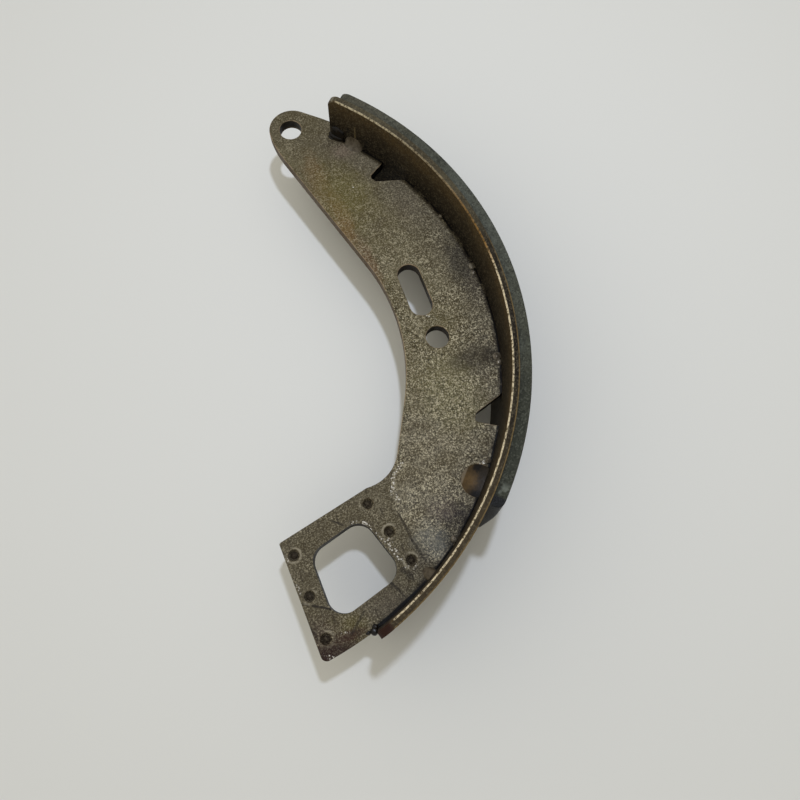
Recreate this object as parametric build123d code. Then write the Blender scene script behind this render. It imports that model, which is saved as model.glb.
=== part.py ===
from build123d import *
import math
import os

# Brake shoe for a 254 mm drum: a stamped web, a rolled rim welded round it, and a bonded lining.
# Millimetres. The drum's axis is Z through the origin, and the rim's lower edge lies in z = 0.
# +X runs through the slot, about the middle of the shoe. Angles are degrees about Z, counted from +X.

# Lining: a curved friction block, bonded to the rim
drum_radius = 127.0
lining_thickness = 4.8
lining_width = 45.0
lining_upper_angle = 43.3
lining_lower_angle = -50.0
lining_lead_length = 4.0
lining_lead_depth = 2.1
lining_edge_break = 0.3

# Rim: the rolled steel table that carries the lining
rim_thickness = 2.6
rim_width = 48.5
rim_upper_angle = 45.3
rim_lower_angle = -73.9
rim_corner_radius = 4.4
rim_edge_break = 0.45

# Web: one flat stamping, square to the rim at its middle
web_thickness = 4.8
web_edge_break = 0.25
web_depth = 38.2
throat_centre_drop = 1.5
throat_lower_angle = -27.8

# Eye end of the web, in from the rim's inner wall
eye_diameter = 9.6
eye_angle = 53.63
eye_inset = 4.1
lug_offset = 0.8
lug_radius = 10.0
lug_neck_radius = 45.0
lug_neck_half_width = 11.4
shoulder_height = 6.15
shoulder_gap = 0.5

# Holes in the middle of the web, in from the rim's inner wall
slot_width = 9.4
slot_length = 23.5
slot_inset = 27.1
slot_y = 2.8
hole_diameter = 9.4
hole_inset = 26.0
hole_y = -19.6

# Square end of the web. Its points are measured from the rim's inner wall at the end's own angle
end_angle = -75.0
end_tip = (-20.9, 40.7)
end_edge_slope = 12.4
end_face_slope = 2.6
end_corner_radius = 2.2
end_tip_radius = 0.8
end_fillet_radius = 16.0
end_fillet_dip = 0.7

# Window through the square end: its corners before rounding, and their radius
window_corners = [(-11.9, 33.4), (10.2, 39.3), (18.2, 15.4), (-10.9, 7.3)]
window_corner_radius = 6.4

# Two rows of pressed weld dimples, one each side of the window
dimple_diameter = 4.4
dimple_depth = 1.5
dimple_floor_diameter = 2.7
dimple_nub_height = 0.9
dimple_count = 3
inner_row = [(14.1, 43.1), (22.1, 18.4)]
outer_row = [(-17.2, 34.9), (-15.5, 3.9)]

# Coined pad: the pressed-down face round the window, and the line that it ends at
pad_depth = 0.3
pad_corner_radius = 5.0
pad_edge = [(32.0, 60.0), (24.6, 47.1), (23.0, 37.9), (30.4, 9.0)]

# Doubler: a second plate under the square end, dimple-welded to the web
doubler_thickness = 4.0
doubler_margin = 6.6

# Notches between the weld tabs, in the web's outer edge
notch_depth = 9.4
notch_mouth = 13.8
notch_tip = 3.4
notch_tip_radius = 1.5
notch_upper_angle = 32.4
notch_lower_angle = -31.1

# Scallop in the web's outer edge, filled with weld metal
scallop_radius = 6.35
scallop_inset = 2.5
scallop_angle = -42.2
scallop_weld_sink = 0.3
scallop_dish_radius = 24.0

# Fillet welds in the corner between web and rim
upper_weld_angle = 41.2
upper_weld_reach = 4.4
upper_weld_length = 10.0
upper_weld_climb = 5.0
lower_weld_angle = -61.0
lower_weld_reach = 3.8
lower_weld_length = 5.0
lower_weld_climb = 1.9

# Tacks at the two ends of the rim, and drops of weld metal thrown along the joint
tack_radius = 2.1
tack_inset = 1.2
drop_radius = 1.15
drop_angles = [15.0, 2.3, -18.2, -38.2, -53.7]

# Sizes that follow from the ones above
rim_outer_radius = drum_radius - lining_thickness
rim_inner_radius = rim_outer_radius - rim_thickness
throat_radius = rim_inner_radius - web_depth
shoulder_radius = rim_inner_radius + shoulder_height
web_bottom = (rim_width - web_thickness) / 2
web_top = web_bottom + web_thickness
lining_bottom = (rim_width - lining_width) / 2
pad_top = web_top - pad_depth
doubler_bottom = web_bottom - doubler_thickness


def polar(radius, angle):
    """The point at a radius and an angle about the drum's axis."""
    return Vector(radius * math.cos(math.radians(angle)), radius * math.sin(math.radians(angle)))


def direction(angle):
    return polar(1.0, angle)


def from_end(offset):
    """A point of the square end, from its offset to the rim's inner wall at the end's angle."""
    return polar(rim_inner_radius, end_angle) + Vector(*offset)


def line_crossing(normal_a, offset_a, normal_b, offset_b):
    """The point P where normal_a . P = offset_a and normal_b . P = offset_b."""
    det = normal_a.X * normal_b.Y - normal_a.Y * normal_b.X
    x = (offset_a * normal_b.Y - offset_b * normal_a.Y) / det
    y = (normal_a.X * offset_b - normal_b.X * offset_a) / det
    return Vector(x, y)


def ring_sector(inner_radius, outer_radius, lower_angle, upper_angle, bottom, height):
    """A bent strip of rectangular section between two angles."""
    span = upper_angle - lower_angle
    outline = [
        CenterArc((0, 0), outer_radius, lower_angle, span),
        Line(polar(outer_radius, upper_angle), polar(inner_radius, upper_angle)),
        CenterArc((0, 0), inner_radius, lower_angle, span),
        Line(polar(inner_radius, lower_angle), polar(outer_radius, lower_angle)),
    ]
    return Pos(0, 0, bottom) * extrude(make_face(outline), amount=height)


def make_rim():
    """The rolled table: a plain strip with rounded corners, and its inner edges broken."""
    rim = ring_sector(rim_inner_radius, rim_outer_radius, rim_lower_angle, rim_upper_angle, 0, rim_width)
    for angle in (rim_lower_angle, rim_upper_angle):
        end_face = rim.faces().sort_by(lambda face: (face.center() - mid_wall(angle)).length)[0]
        corners = end_face.edges().filter_by(GeomType.LINE).filter_by(Axis.Z, reverse=True)
        rim = fillet(corners, radius=rim_corner_radius)
    inner_wall = rim.faces().filter_by(GeomType.CYLINDER).filter_by(
        lambda face: abs(face.radius - rim_inner_radius) < 1e-6
    )
    return chamfer(inner_wall[0].edges(), length=rim_edge_break)


def mid_wall(angle):
    """The middle of the rim's thickness and width at an angle."""
    wall = polar(rim_inner_radius + rim_thickness / 2, angle)
    return Vector(wall.X, wall.Y, rim_width / 2)


def lead_wedge(angle, inward):
    """What the bevel at one end of the lining takes away, as a face."""
    back = direction(angle + inward * 90)
    tip = polar(drum_radius, angle)
    lead_start = polar(drum_radius, angle + inward * math.degrees(lining_lead_length / drum_radius))
    lead_end = polar(drum_radius - lining_lead_depth, angle)
    out = tip.normalized()
    return make_face(
        Polyline(lead_start, lead_start + out, tip + out - back, lead_end - back, lead_end, close=True)
    )


def make_lining():
    """The friction block, with a bevelled lead at each end of its rubbing face."""
    lining = ring_sector(
        rim_outer_radius, drum_radius, lining_lower_angle, lining_upper_angle, lining_bottom, lining_width
    )
    for angle, inward in ((lining_upper_angle, -1), (lining_lower_angle, 1)):
        lining -= Pos(0, 0, lining_bottom) * extrude(lead_wedge(angle, inward), amount=lining_width)
    rubbing_edges = lining.edges().filter_by(GeomType.CIRCLE).filter_by(
        lambda edge: abs(edge.radius - drum_radius) < 1e-6
    )
    return chamfer(rubbing_edges, length=lining_edge_break)


def eye_centre():
    return polar(rim_inner_radius - eye_inset, eye_angle)


def web_outline():
    """The web's edge, counterclockwise from the foot of the shoulder at the rim's upper end."""
    throat = Vector(0, -throat_centre_drop)
    lug = eye_centre() + Vector(lug_offset, 0)

    # shoulder past the rim's end, then a straight edge tangent to the lug
    shoulder_angle = rim_upper_angle + math.degrees(shoulder_gap / rim_outer_radius)
    lug_angle = math.degrees(math.atan2(lug.Y, lug.X))
    crown_angle = lug_angle - math.degrees(math.acos((shoulder_radius - lug_radius) / lug.length))
    shoulder_foot = polar(rim_inner_radius, shoulder_angle)
    shoulder_top = polar(shoulder_radius, shoulder_angle)
    crown = polar(shoulder_radius, crown_angle)
    lug_start = lug + polar(lug_radius, crown_angle)

    # straight edge tangent to the throat, which a long arc joins to the lug
    to_lug = lug - throat
    reach = math.acos((throat_radius + lug_neck_half_width) / to_lug.length)
    upper_angle = math.degrees(math.atan2(to_lug.Y, to_lug.X) - reach)
    swing = math.degrees(
        math.acos((lug_neck_radius - lug_neck_half_width) / (lug_neck_radius - lug_radius))
    )
    neck = lug + polar(lug_neck_radius - lug_radius, upper_angle - swing)
    lug_end = lug - polar(lug_radius, upper_angle - swing)
    neck_end = neck - polar(lug_neck_radius, upper_angle)
    throat_start = throat + polar(throat_radius, upper_angle)
    throat_end = throat + polar(throat_radius, throat_lower_angle)

    # inside corner at the square end
    side = direction(throat_lower_angle)
    side_offset = side.dot(throat) + throat_radius
    top = direction(90 + end_edge_slope)
    tip = from_end(end_tip)
    top_offset = top.dot(tip)
    centre = line_crossing(
        side, side_offset - end_fillet_radius, top, top_offset + end_fillet_radius - end_fillet_dip
    )
    fillet_start = centre + polar(end_fillet_radius, throat_lower_angle)
    half_chord = math.sqrt(end_fillet_radius**2 - (end_fillet_radius - end_fillet_dip) ** 2)
    kink = centre - top * (end_fillet_radius - end_fillet_dip) - direction(end_edge_slope) * half_chord
    kink_angle = math.degrees(math.atan2(kink.Y - centre.Y, kink.X - centre.X))

    # square end's face down to the arc that the rim would follow
    down = direction(end_face_slope - 90)
    along = tip.dot(down)
    run = -along + math.sqrt(along**2 - tip.length**2 + rim_inner_radius**2)
    foot = tip + down * run
    foot_angle = math.degrees(math.atan2(foot.Y, foot.X))

    lug_sweep = 180 + (upper_angle - swing) - crown_angle
    fillet_sweep = kink_angle - throat_lower_angle
    return [
        Line(shoulder_foot, shoulder_top),
        CenterArc((0, 0), shoulder_radius, shoulder_angle, crown_angle - shoulder_angle),
        Line(crown, lug_start),
        CenterArc(lug, lug_radius, crown_angle, lug_sweep),
        CenterArc(neck, lug_neck_radius, 180 + upper_angle - swing, swing),
        Line(neck_end, throat_start),
        CenterArc(throat, throat_radius, throat_lower_angle, upper_angle - throat_lower_angle),
        Line(throat_end, fillet_start),
        CenterArc(centre, end_fillet_radius, throat_lower_angle, fillet_sweep),
        Line(kink, tip),
        Line(tip, foot),
        CenterArc((0, 0), rim_inner_radius, foot_angle, shoulder_angle - foot_angle),
    ]


def nearest_vertex(face, place):
    """The corner of a face that lies nearest to a place."""
    return face.vertices().sort_by(lambda vertex: (Vector(vertex.X, vertex.Y) - place).length)[0]


def web_face():
    """The web's blank, with the corners of its square end rounded."""
    blank = make_face(web_outline())
    tip = from_end(end_tip)
    blank = fillet(nearest_vertex(blank, tip), radius=end_tip_radius)
    return fillet(nearest_vertex(blank, Vector(tip.X, -rim_inner_radius)), radius=end_corner_radius)


def window_hole():
    """The rounded four-sided window, as a face."""
    outline = make_face(Polyline(*[from_end(corner) for corner in window_corners], close=True))
    return fillet(outline.vertices(), radius=window_corner_radius)


def slot_hole():
    return Pos(rim_inner_radius - slot_inset, slot_y) * SlotOverall(slot_length, slot_width, rotation=90)


def round_hole(place, diameter):
    return Pos(place.X, place.Y) * Circle(diameter / 2)


def notch(far_angle, towards_middle):
    """A notch with one radial side and one slanted side, its tip rounded."""
    out = direction(far_angle)
    along = direction(far_angle + 90 * towards_middle)
    slope = (notch_mouth - notch_tip) / notch_depth
    root = out * (rim_inner_radius - notch_depth)
    reach = notch_depth + rim_thickness
    far_side = notch_tip + slope * reach
    outline = make_face(
        Polyline(
            root,
            root + out * reach,
            root + out * reach + along * far_side,
            root + along * notch_tip,
            close=True,
        )
    )
    tips = outline.vertices().sort_by(lambda v: math.hypot(v.X, v.Y))[:2]
    return fillet(tips, radius=notch_tip_radius)


def scallop_hole():
    return round_hole(polar(rim_inner_radius - scallop_inset, scallop_angle), 2 * scallop_radius)


def dimple_places():
    """Centres of the dimples in both rows."""
    places = []
    for start, end in (inner_row, outer_row):
        first = from_end(start)
        step = (from_end(end) - first) / (dimple_count - 1)
        places += [first + step * number for number in range(dimple_count)]
    return places


def dimple_tool():
    """A pressed mark with sloping sides and a nub left standing in its middle, down from z = 0."""
    mouth = dimple_diameter / 2
    section = make_face(
        Polyline(
            (0, dimple_depth),
            (mouth, dimple_depth),
            (mouth, 0),
            (dimple_floor_diameter / 2, -dimple_depth),
            (0, dimple_nub_height - dimple_depth),
            close=True,
        )
    )
    return revolve(Plane.XZ * section, Axis.Z)


def pad_region():
    """Everything on the window's side of the pad's edge, as a face."""
    line = [from_end(point) for point in pad_edge]
    foot = Vector(line[-1].X, -drum_radius)
    back = Vector(0, line[0].Y)
    outline = make_face(Polyline(*line, foot, Vector(0, foot.Y), back, close=True))
    return fillet([nearest_vertex(outline, bend) for bend in line[1:-1]], radius=pad_corner_radius)


def web_punchings():
    """All that is punched out of the web's blank."""
    punch = Sketch() + window_hole() + slot_hole()
    punch += round_hole(eye_centre(), eye_diameter)
    punch += round_hole(Vector(rim_inner_radius - hole_inset, hole_y), hole_diameter)
    punch += notch(notch_upper_angle, -1)
    punch += notch(notch_lower_angle, 1)
    punch += scallop_hole()
    return punch


def make_web():
    """The web: stamped blank, punched holes and notches, rolled-over edges, coined pad, weld dimples."""
    web = extrude(web_face() - web_punchings(), amount=web_thickness)
    top_edges = web.faces().sort_by(Axis.Z)[-1].edges()
    free_edges = top_edges.filter_by(lambda edge: not on_rim(edge))
    web = chamfer(free_edges, length=web_edge_break)
    web -= Pos(0, 0, web_thickness - pad_depth) * extrude(pad_region(), amount=pad_depth)
    for place in dimple_places():
        web -= Pos(place.X, place.Y, web_thickness - pad_depth) * dimple_tool()
    return Pos(0, 0, web_bottom) * web


def on_rim(edge):
    """Whether an edge of the web lies against the rim's inner wall."""
    return edge.geom_type == GeomType.CIRCLE and abs(edge.radius - rim_inner_radius) < 1e-6


def make_doubler():
    """The plate under the square end, level with its edges and with the same window."""
    first, last = (from_end(end) for end in inner_row)
    row = last - first
    beside = Vector(-row.Y, row.X).normalized() * doubler_margin
    upper = first + beside - row
    lower = last + beside + row
    behind = make_face(Polyline(upper, lower, (0, lower.Y), (0, upper.Y), close=True))
    outline = (web_face() & behind) - window_hole()
    return Pos(0, 0, doubler_bottom) * extrude(outline, amount=doubler_thickness)


def weld_blob(angle, reach, length, climb, level, side=1):
    """Weld metal in the corner between a level face and the rim, above the face or (side -1) below it."""
    foot = polar(rim_inner_radius, angle)
    blob = Pos(foot.X, foot.Y, level) * Rot(0, 0, angle) * scale(Sphere(1), by=(reach, length / 2, climb))
    corner = Pos(0, 0, level) * extrude(Circle(rim_inner_radius), amount=side * rim_width)
    return blob & corner


def make_fillet_welds():
    """The two fillet welds, each laid on both sides of the web."""
    upper = (upper_weld_angle, upper_weld_reach, upper_weld_length, upper_weld_climb)
    lower = (lower_weld_angle, lower_weld_reach, lower_weld_length, lower_weld_climb)
    return [
        weld_blob(*upper, web_top),
        weld_blob(*upper, web_bottom, side=-1),
        weld_blob(*lower, pad_top),
        weld_blob(*lower, doubler_bottom, side=-1),
    ]


def make_end_tacks():
    """A tack at each end of the rim, on the web's upper side."""
    ball = (tack_radius, 2 * tack_radius, tack_radius)
    step = math.degrees(tack_inset / rim_inner_radius)
    return [
        weld_blob(rim_upper_angle - step, *ball, web_top),
        weld_blob(rim_lower_angle + step, *ball, pad_top),
    ]


def make_weld_drops():
    ball = (drop_radius, 2 * drop_radius, drop_radius)
    return [weld_blob(angle, *ball, web_top) for angle in drop_angles]


def make_scallop_weld():
    """The plug weld that fills the scallop, level with the web below and dished above."""
    plug = extrude(scallop_hole() & Circle(rim_inner_radius), amount=web_thickness)
    centre = polar(rim_inner_radius - scallop_inset, scallop_angle)
    rise = math.sqrt(scallop_dish_radius**2 - scallop_radius**2) - scallop_weld_sink
    plug -= Pos(centre.X, centre.Y, web_thickness + rise) * Sphere(scallop_dish_radius)
    return Pos(0, 0, web_bottom) * plug


if __name__ == "__main__":
    os.makedirs("parts", exist_ok=True)
    parts = {
        "rim": make_rim(),
        "lining": make_lining(),
        "web": make_web(),
        "end_doubler": make_doubler(),
        "scallop_weld": make_scallop_weld(),
        "fillet_welds": Compound(make_fillet_welds()),
        "end_tacks": Compound(make_end_tacks()),
        "weld_drops": Compound(make_weld_drops()),
    }
    for name, shape in parts.items():
        export_step(shape, f"parts/{name}.step")
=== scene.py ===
import math

import bmesh
import bpy
from mathutils import Matrix, Vector, noise as solid_noise


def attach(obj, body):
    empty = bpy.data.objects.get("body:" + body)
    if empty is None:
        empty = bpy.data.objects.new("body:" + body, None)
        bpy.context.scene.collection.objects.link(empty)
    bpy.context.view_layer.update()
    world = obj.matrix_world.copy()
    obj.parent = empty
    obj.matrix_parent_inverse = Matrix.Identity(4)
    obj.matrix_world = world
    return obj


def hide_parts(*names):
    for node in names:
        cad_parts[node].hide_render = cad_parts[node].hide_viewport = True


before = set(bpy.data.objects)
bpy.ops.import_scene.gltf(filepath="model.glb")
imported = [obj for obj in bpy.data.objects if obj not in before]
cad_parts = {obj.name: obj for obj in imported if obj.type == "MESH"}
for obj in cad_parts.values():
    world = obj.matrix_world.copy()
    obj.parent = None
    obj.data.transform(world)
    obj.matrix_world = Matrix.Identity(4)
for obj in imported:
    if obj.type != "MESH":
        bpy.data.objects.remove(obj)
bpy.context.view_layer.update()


# Web: one flat stamping of 4.8 mm strip steel, pickled, oiled, and long in use.
# Its skin is bright and dark grains under a thin brown film, with greasy and rusty patches.

def node(tree, kind, links=None, **settings):
    """A node of a tree, with its settings, and with each input either linked or given a value."""
    made = tree.nodes.new(kind)
    for name, value in settings.items():
        setattr(made, name, value)
    for name, value in (links or {}).items():
        feed(tree, made.inputs[name], value)
    return made


def feed(tree, socket, value):
    """Link a socket to another, or set its value."""
    if isinstance(value, bpy.types.NodeSocket):
        tree.links.new(value, socket)
    else:
        socket.default_value = value


def calculate(tree, operation, *values):
    """The result of one sum on numbers or sockets."""
    return node(tree, "ShaderNodeMath", dict(enumerate(values)), operation=operation).outputs[0]


def times(tree, *values):
    """The product of several masks."""
    product = values[0]
    for value in values[1:]:
        product = calculate(tree, "MULTIPLY", product, value)
    return product


def ramp(tree, value, low, high, bottom=0.0, top=1.0):
    """Bottom at low and top at high, smooth between and level outside; high may be the lower of the two."""
    limits = {"Value": value, "From Min": low, "From Max": high, "To Min": bottom, "To Max": top}
    return node(tree, "ShaderNodeMapRange", limits, interpolation_type="SMOOTHSTEP").outputs["Result"]


def mixed(tree, amount, first, second):
    """One colour laid over another."""
    made = node(tree, "ShaderNodeMix", data_type="RGBA")
    feed(tree, made.inputs[0], amount)
    feed(tree, made.inputs[6], first)
    feed(tree, made.inputs[7], second)
    return made.outputs[2]


def shade(red, green, blue):
    """A colour from its everyday 0 to 255 values."""
    return tuple(((c / 255 + 0.055) / 1.055) ** 2.4 for c in (red, green, blue)) + (1.0,)


def noise(tree, where, size, detail=3.0, roughness=0.55):
    """Smooth noise with features about one size across, from 0 to 1."""
    made = node(tree, "ShaderNodeTexNoise",
                {"Vector": where, "Scale": 1.0 / size, "Detail": detail, "Roughness": roughness})
    return made.outputs["Fac"]


def shader_group(name, inputs, outputs):
    """An empty shader group with named sockets, and its two end nodes."""
    tree = bpy.data.node_groups.new(name, "ShaderNodeTree")
    for label, kind, value in inputs:
        socket = tree.interface.new_socket(label, in_out="INPUT", socket_type=kind)
        if value is not None:
            socket.default_value = value
    for label, kind in outputs:
        tree.interface.new_socket(label, in_out="OUTPUT", socket_type=kind)
    return tree, tree.nodes.new("NodeGroupInput"), tree.nodes.new("NodeGroupOutput")


def placed(tree, group, links):
    """The outputs of a shader group placed in a material."""
    return node(tree, "ShaderNodeGroup", links, node_tree=group).outputs


def make_grain():
    """Grains of random brightness, the height of their crowns, and the pits between them."""
    tree, start, end = shader_group(
        "grain",
        [("Vector", "NodeSocketVector", None), ("Grain", "NodeSocketFloat", 0.0005)],
        [("Bright", "NodeSocketFloat"), ("Dark", "NodeSocketFloat"), ("Height", "NodeSocketFloat")],
    )
    scale = calculate(tree, "DIVIDE", 1.0, start.outputs["Grain"])
    wobble = node(tree, "ShaderNodeTexNoise",
                  {"Vector": start.outputs["Vector"], "Scale": scale, "Detail": 1.0})
    bent = node(tree, "ShaderNodeVectorMath",
                {0: wobble.outputs["Color"], 1: (0.0006, 0.0006, 0.0006), 2: start.outputs["Vector"]},
                operation="MULTIPLY_ADD").outputs[0]
    cells = node(tree, "ShaderNodeTexVoronoi", {"Vector": bent, "Scale": scale})
    chance = node(tree, "ShaderNodeSeparateColor", {"Color": cells.outputs["Color"]})
    feed(tree, end.inputs["Bright"], ramp(tree, chance.outputs[0], 0.55, 1.0))
    feed(tree, end.inputs["Dark"], ramp(tree, chance.outputs[1], 0.5, 0.0))
    crown = calculate(tree, "SUBTRACT", chance.outputs[0], cells.outputs["Distance"])
    feed(tree, end.inputs["Height"], crown)
    return tree


def make_patch():
    """A stain with a ragged edge about one place, drawn out along each axis by its stretch."""
    tree, start, end = shader_group(
        "patch",
        [
            ("Vector", "NodeSocketVector", None),
            ("Place", "NodeSocketVector", None),
            ("Stretch", "NodeSocketVector", (1, 1, 1)),
            ("Radius", "NodeSocketFloat", 0.01),
            ("Softness", "NodeSocketFloat", 0.5),
            ("Ragged", "NodeSocketFloat", 0.5),
        ],
        [("Mask", "NodeSocketFloat")],
    )
    away = node(tree, "ShaderNodeVectorMath", {0: start.outputs["Vector"], 1: start.outputs["Place"]},
                operation="SUBTRACT").outputs[0]
    squeezed = node(tree, "ShaderNodeVectorMath", {0: away, 1: start.outputs["Stretch"]},
                    operation="DIVIDE").outputs[0]
    distance = node(tree, "ShaderNodeVectorMath", {0: squeezed}, operation="LENGTH").outputs["Value"]
    share = calculate(tree, "DIVIDE", distance, start.outputs["Radius"])
    frequency = calculate(tree, "DIVIDE", 2.5, start.outputs["Radius"])
    ripple = node(tree, "ShaderNodeTexNoise",
                  {"Vector": start.outputs["Vector"], "Scale": frequency, "Detail": 5.0}).outputs["Fac"]
    shift = times(tree, calculate(tree, "SUBTRACT", ripple, 0.5), start.outputs["Ragged"])
    ragged = calculate(tree, "MULTIPLY_ADD", shift, 2.0, share)
    outer = calculate(tree, "ADD", 1.0, start.outputs["Softness"])
    inner = calculate(tree, "SUBTRACT", 1.0, start.outputs["Softness"])
    feed(tree, end.inputs["Mask"], ramp(tree, ragged, outer, inner))
    return tree


def make_stroke():
    """A ragged line of one width from one point to another."""
    tree, start, end = shader_group(
        "stroke",
        [
            ("Vector", "NodeSocketVector", None),
            ("From", "NodeSocketVector", None),
            ("To", "NodeSocketVector", None),
            ("Width", "NodeSocketFloat", 0.0005),
            ("Ragged", "NodeSocketFloat", 0.5),
        ],
        [("Mask", "NodeSocketFloat")],
    )
    away = node(tree, "ShaderNodeVectorMath", {0: start.outputs["Vector"], 1: start.outputs["From"]},
                operation="SUBTRACT").outputs[0]
    run = node(tree, "ShaderNodeVectorMath", {0: start.outputs["To"], 1: start.outputs["From"]},
               operation="SUBTRACT").outputs[0]
    along = node(tree, "ShaderNodeVectorMath", {0: away, 1: run}, operation="DOT_PRODUCT").outputs["Value"]
    whole = node(tree, "ShaderNodeVectorMath", {0: run, 1: run}, operation="DOT_PRODUCT").outputs["Value"]
    covered = calculate(tree, "DIVIDE", along, whole)
    share = node(tree, "ShaderNodeClamp", {"Value": covered}).outputs["Result"]
    nearest = node(tree, "ShaderNodeVectorMath", {0: run, "Scale": share}, operation="SCALE").outputs[0]
    off = node(tree, "ShaderNodeVectorMath", {0: away, 1: nearest}, operation="DISTANCE").outputs["Value"]
    ripple = noise(tree, start.outputs["Vector"], 0.0009, 3.0, 0.6)
    shift = times(tree, calculate(tree, "SUBTRACT", ripple, 0.5), start.outputs["Ragged"])
    widths_off = calculate(tree, "DIVIDE", off, start.outputs["Width"])
    ragged = calculate(tree, "MULTIPLY_ADD", shift, 4.0, widths_off)
    feed(tree, end.inputs["Mask"], ramp(tree, ragged, 1.3, 0.6))
    return tree


def make_shoe_place():
    """Where a point lies on the shoe: radius, height, angle in degrees, and how far its face turns up."""
    tree, start, end = shader_group(
        "shoe_place",
        [("Vector", "NodeSocketVector", None)],
        [("Radius", "NodeSocketFloat"), ("Height", "NodeSocketFloat"), ("Angle", "NodeSocketFloat"),
         ("Up", "NodeSocketFloat")],
    )
    place = node(tree, "ShaderNodeSeparateXYZ", {"Vector": start.outputs["Vector"]}).outputs
    flat = node(tree, "ShaderNodeCombineXYZ", {"X": place["X"], "Y": place["Y"]}).outputs["Vector"]
    reach = node(tree, "ShaderNodeVectorMath", {0: flat}, operation="LENGTH").outputs["Value"]
    feed(tree, end.inputs["Radius"], reach)
    feed(tree, end.inputs["Height"], place["Z"])
    turned = calculate(tree, "ARCTAN2", place["Y"], place["X"])
    feed(tree, end.inputs["Angle"], times(tree, turned, 180 / math.pi))
    facing = node(tree, "ShaderNodeNewGeometry").outputs["True Normal"]
    feed(tree, end.inputs["Up"], node(tree, "ShaderNodeSeparateXYZ", {"Vector": facing}).outputs["Z"])
    return tree


grain = make_grain()
patch = make_patch()
stroke = make_stroke()
shoe_place = make_shoe_place()

web_top = 0.02665
pad_top = 0.02635
rim_inner_radius = 0.1196
rim_outer_radius = 0.1222
rim_width = 0.0485


def new_material(name):
    """An empty node material, with its tree, its shader and its object coordinates."""
    material = bpy.data.materials.new(name)
    material.use_nodes = True
    tree = material.node_tree
    shader = tree.nodes["Principled BSDF"]
    where = tree.nodes.new("ShaderNodeTexCoord").outputs["Object"]
    return material, tree, shader, where


def stain(tree, where, x, y, radius, stretch=(1.0, 1.0), softness=0.6, ragged=0.6, z=web_top):
    """A patch's mask about one place on the shoe, as tall as the shoe unless its height is given."""
    links = {"Vector": where, "Place": (x, y, z), "Radius": radius, "Stretch": (*stretch, 1.0),
             "Softness": softness, "Ragged": ragged}
    return placed(tree, patch, links)["Mask"]


def line(tree, where, x0, y0, x1, y1, width, ragged=0.5, z=pad_top):
    """A stroke's mask between two places on the shoe."""
    links = {"Vector": where, "From": (x0, y0, z), "To": (x1, y1, z), "Width": width, "Ragged": ragged}
    return placed(tree, stroke, links)["Mask"]


def finish(tree, shader, colour, rough, height, depth, strength=0.6):
    """Feed a shader its colour, its roughness and the bump of its grain."""
    feed(tree, shader.inputs["Base Color"], colour)
    feed(tree, shader.inputs["Roughness"], rough)
    bump = node(tree, "ShaderNodeBump", {"Height": height, "Distance": depth, "Strength": strength})
    feed(tree, shader.inputs["Normal"], bump.outputs["Normal"])


def give(material, *names):
    """Lay a material on CAD nodes."""
    for name in names:
        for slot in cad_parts[name].material_slots:
            slot.material = material


web_stains = [
    # x, y, radius, stretch, colour, strength
    (0.0715, 0.0640, 0.0060, (0.7, 2.2), shade(104, 78, 42), 0.45),
    (0.0755, 0.0430, 0.0050, (0.7, 2.4), shade(110, 80, 42), 0.7),
    (0.0790, 0.0180, 0.0040, (0.7, 3.0), shade(104, 76, 52), 0.6),
    (0.0802, 0.0540, 0.0100, (1.0, 1.3), shade(98, 90, 46), 0.55),
    (0.0876, 0.0753, 0.0042, (1.2, 0.9), shade(112, 96, 84), 0.6),
    (0.0850, 0.0800, 0.0030, (1.4, 0.8), shade(58, 48, 34), 0.6),
    (0.0740, 0.0940, 0.0110, (1.2, 1.0), shade(70, 62, 36), 0.6),
    (0.0945, 0.0690, 0.0060, (1.0, 1.0), shade(96, 88, 72), 0.6),
    (0.1040, 0.0420, 0.0070, (0.8, 1.6), shade(88, 80, 66), 0.6),
    (0.1150, 0.0070, 0.0066, (0.8, 1.9), shade(44, 39, 31), 0.9),
    (0.1165, -0.0060, 0.0036, (0.7, 2.0), shade(62, 54, 44), 0.7),
    (0.1112, -0.0340, 0.0036, (1.0, 1.3), shade(38, 32, 24), 0.85),
    (0.1015, -0.0330, 0.0070, (1.2, 0.8), shade(48, 41, 29), 0.85),
    (0.0900, -0.0450, 0.0120, (0.9, 1.2), shade(108, 102, 68), 0.6),
    (0.0740, -0.0885, 0.0046, (1.2, 1.0), shade(32, 26, 25), 0.95),
    (0.0668, -0.0950, 0.0040, (1.2, 1.0), shade(24, 20, 18), 0.95),
    (0.0700, -0.0840, 0.0040, (1.2, 1.0), shade(84, 74, 70), 0.6),
    (0.0618, -0.0930, 0.0062, (0.9, 1.1), shade(118, 118, 112), 0.6),
    (0.0560, -0.1000, 0.0050, (0.9, 1.1), shade(64, 56, 46), 0.7),
    (0.0220, -0.0840, 0.0070, (0.9, 1.3), shade(66, 58, 40), 0.6),
    (0.0240, -0.1110, 0.0060, (1.2, 0.8), shade(84, 76, 40), 0.7),
    (0.0400, -0.1090, 0.0070, (1.3, 0.8), shade(84, 76, 66), 0.5),
    (0.0140, -0.1120, 0.0070, (1.1, 1.0), shade(58, 44, 36), 0.8),
    (0.0145, -0.1170, 0.0050, (2.2, 0.6), shade(34, 12, 9), 0.9),
    (0.0240, -0.1135, 0.0030, (1.8, 0.6), shade(48, 24, 16), 0.85),
]
cut_openings = [
    # x, y, and the reach and stretch that take in the walls of each
    (0.0335, -0.0925, 0.0190, (1.0, 1.0)),
    (0.0925, 0.0028, 0.0130, (0.65, 1.05)),
    (0.0936, -0.0196, 0.0065, (1.0, 1.0)),
    (0.0685, 0.0930, 0.0062, (1.0, 1.0)),
]
dimple_radius = 0.0023
dimple_rim_radius = 0.0030
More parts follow.
